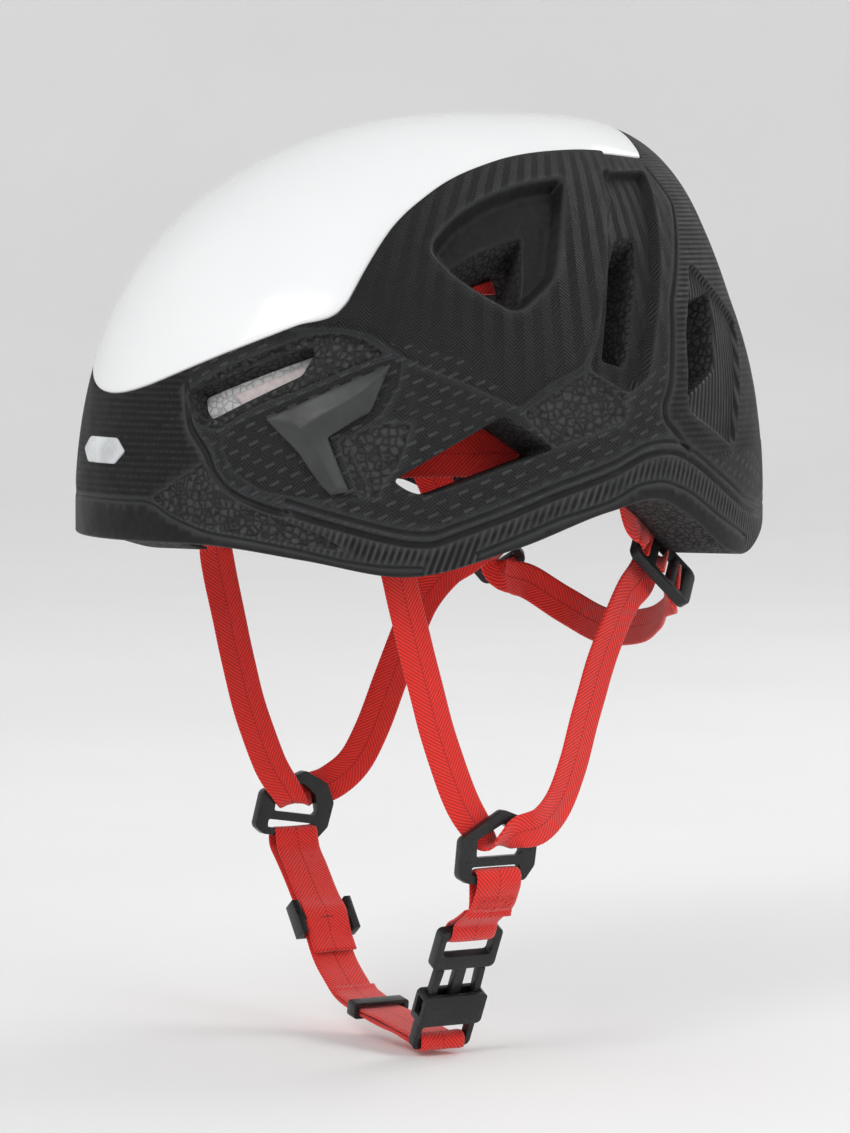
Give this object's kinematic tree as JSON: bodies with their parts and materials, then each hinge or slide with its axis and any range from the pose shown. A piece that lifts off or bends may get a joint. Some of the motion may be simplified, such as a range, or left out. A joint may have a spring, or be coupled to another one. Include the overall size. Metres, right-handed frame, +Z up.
{
  "type": "climbing helmet",
  "caption": "Foam climbing helmet with hard crown cap, slanted vents, headlamp clips, adjustable inner headband and a webbing chin harness with dividers and a side-release buckle.",
  "frame": {"origin": "middle of the head opening, at the height of the lowest side of the rim", "axes": "+Z up, -Y to the front of the helmet, +X to the wearer's left"},
  "size_m": [0.222, 0.2876, 0.3669],
  "materials": {
    "epp_black": "moulded bead foam, textured, black",
    "cap_white": "gloss white hard shell",
    "eps_grey": "moulded bead foam, light grey",
    "badge_white": "plain white plate",
    "clip_plastic": "satin dark grey moulded plastic",
    "label_paper": "blank satin sticker",
    "hardware_black": "satin black moulded plastic",
    "webbing_red": "herringbone twill webbing, bright red",
    "pad_fabric": "black brushed knit over foam",
    "cradle_plastic": "black moulded plastic",
    "wheel_plastic": "knurled black plastic",
    "screw_steel": "blackened pan-head screw"
  },
  "bodies": {
    "helmet": {"main_body": "epp_black", "top_shell": "cap_white", "crown_insert": "eps_grey", "front_badge": "badge_white", "headlamp_clip_left": "clip_plastic", "headlamp_clip_right": "clip_plastic", "interior_label": "label_paper", "strap_anchors": "hardware_black", "side_strap_left": "webbing_red", "side_strap_right": "webbing_red", "anchor_strap_left": "webbing_red", "anchor_strap_right": "webbing_red", "rear_adjuster_left": "hardware_black", "rear_adjuster_right": "hardware_black", "nape_strap": "webbing_red", "strap_divider_left": "hardware_black", "strap_divider_right": "hardware_black", "buckle_female": "hardware_black", "chin_strap_left": "webbing_red", "chin_strap_right": "webbing_red", "pivot_pins": "hardware_black", "crown_strap": "webbing_red", "crown_pad": "pad_fabric"},
    "fit_system": {"headband": "webbing_red", "brow_pad": "pad_fabric", "nape_pad": "pad_fabric", "nape_cradle": "cradle_plastic", "cradle_cover": "cradle_plastic", "cradle_screws": "screw_steel"},
    "size_wheel": {"fit_wheel": "wheel_plastic"},
    "left_rack": {"rack_band_left": "cradle_plastic"},
    "right_rack": {"rack_band_right": "cradle_plastic"},
    "male_buckle": {"buckle_male": "hardware_black"},
    "front_prong": {"buckle_prong_front": "hardware_black"},
    "rear_prong": {"buckle_prong_rear": "hardware_black"},
    "slider": {"strap_slider": "hardware_black"},
    "keeper": {"strap_keeper": "hardware_black"}
  },
  "joints": [
    {"name": "fit_tilt", "type": "hinge", "parent": "helmet", "child": "fit_system", "pos_m": [0, -0.08, 0.049], "axis": [-1, 0, 0], "range_deg": [0, 5]},
    {"name": "size_wheel_turn", "type": "hinge", "parent": "fit_system", "child": "size_wheel", "pos_m": [0, 0.11, 0.05], "axis": [0, -1, 0], "range_deg": [0, 94]},
    {"name": "left_rack_slide", "type": "slide", "parent": "fit_system", "child": "left_rack", "axis": [-1, 0, 0], "range_m": [0, 0.0083]},
    {"name": "right_rack_slide", "type": "slide", "parent": "fit_system", "child": "right_rack", "axis": [1, 0, 0], "range_m": [0, 0.0083]},
    {"name": "buckle_release", "type": "slide", "parent": "helmet", "child": "male_buckle", "axis": [0.46, 0, 0.8879], "range_m": [0, 0.022], "deforming": ["chin_strap_left"]},
    {"name": "front_prong_squeeze", "type": "hinge", "parent": "male_buckle", "child": "front_prong", "pos_m": [0.05446, -0.0228, -0.15353], "axis": [0.8879, 0, -0.46], "range_deg": [0, 8]},
    {"name": "rear_prong_squeeze", "type": "hinge", "parent": "male_buckle", "child": "rear_prong", "pos_m": [0.05446, -0.0042, -0.15353], "axis": [0.8879, 0, -0.46], "range_deg": [-8, 0]},
    {"name": "slider_shift", "type": "slide", "parent": "helmet", "child": "slider", "axis": [0.6024, 0, -0.7982], "range_m": [-0.006, 0.006]},
    {"name": "keeper_shift", "type": "slide", "parent": "helmet", "child": "keeper", "axis": [0.9849, 0, -0.1731], "range_m": [-0.008, 0.008]}
  ],
  "couplings": [
    {"joint": "left_rack_slide", "follows": "size_wheel_turn", "m_per_rad": 0.0048},
    {"joint": "right_rack_slide", "follows": "size_wheel_turn", "m_per_rad": 0.0048}
  ]
}
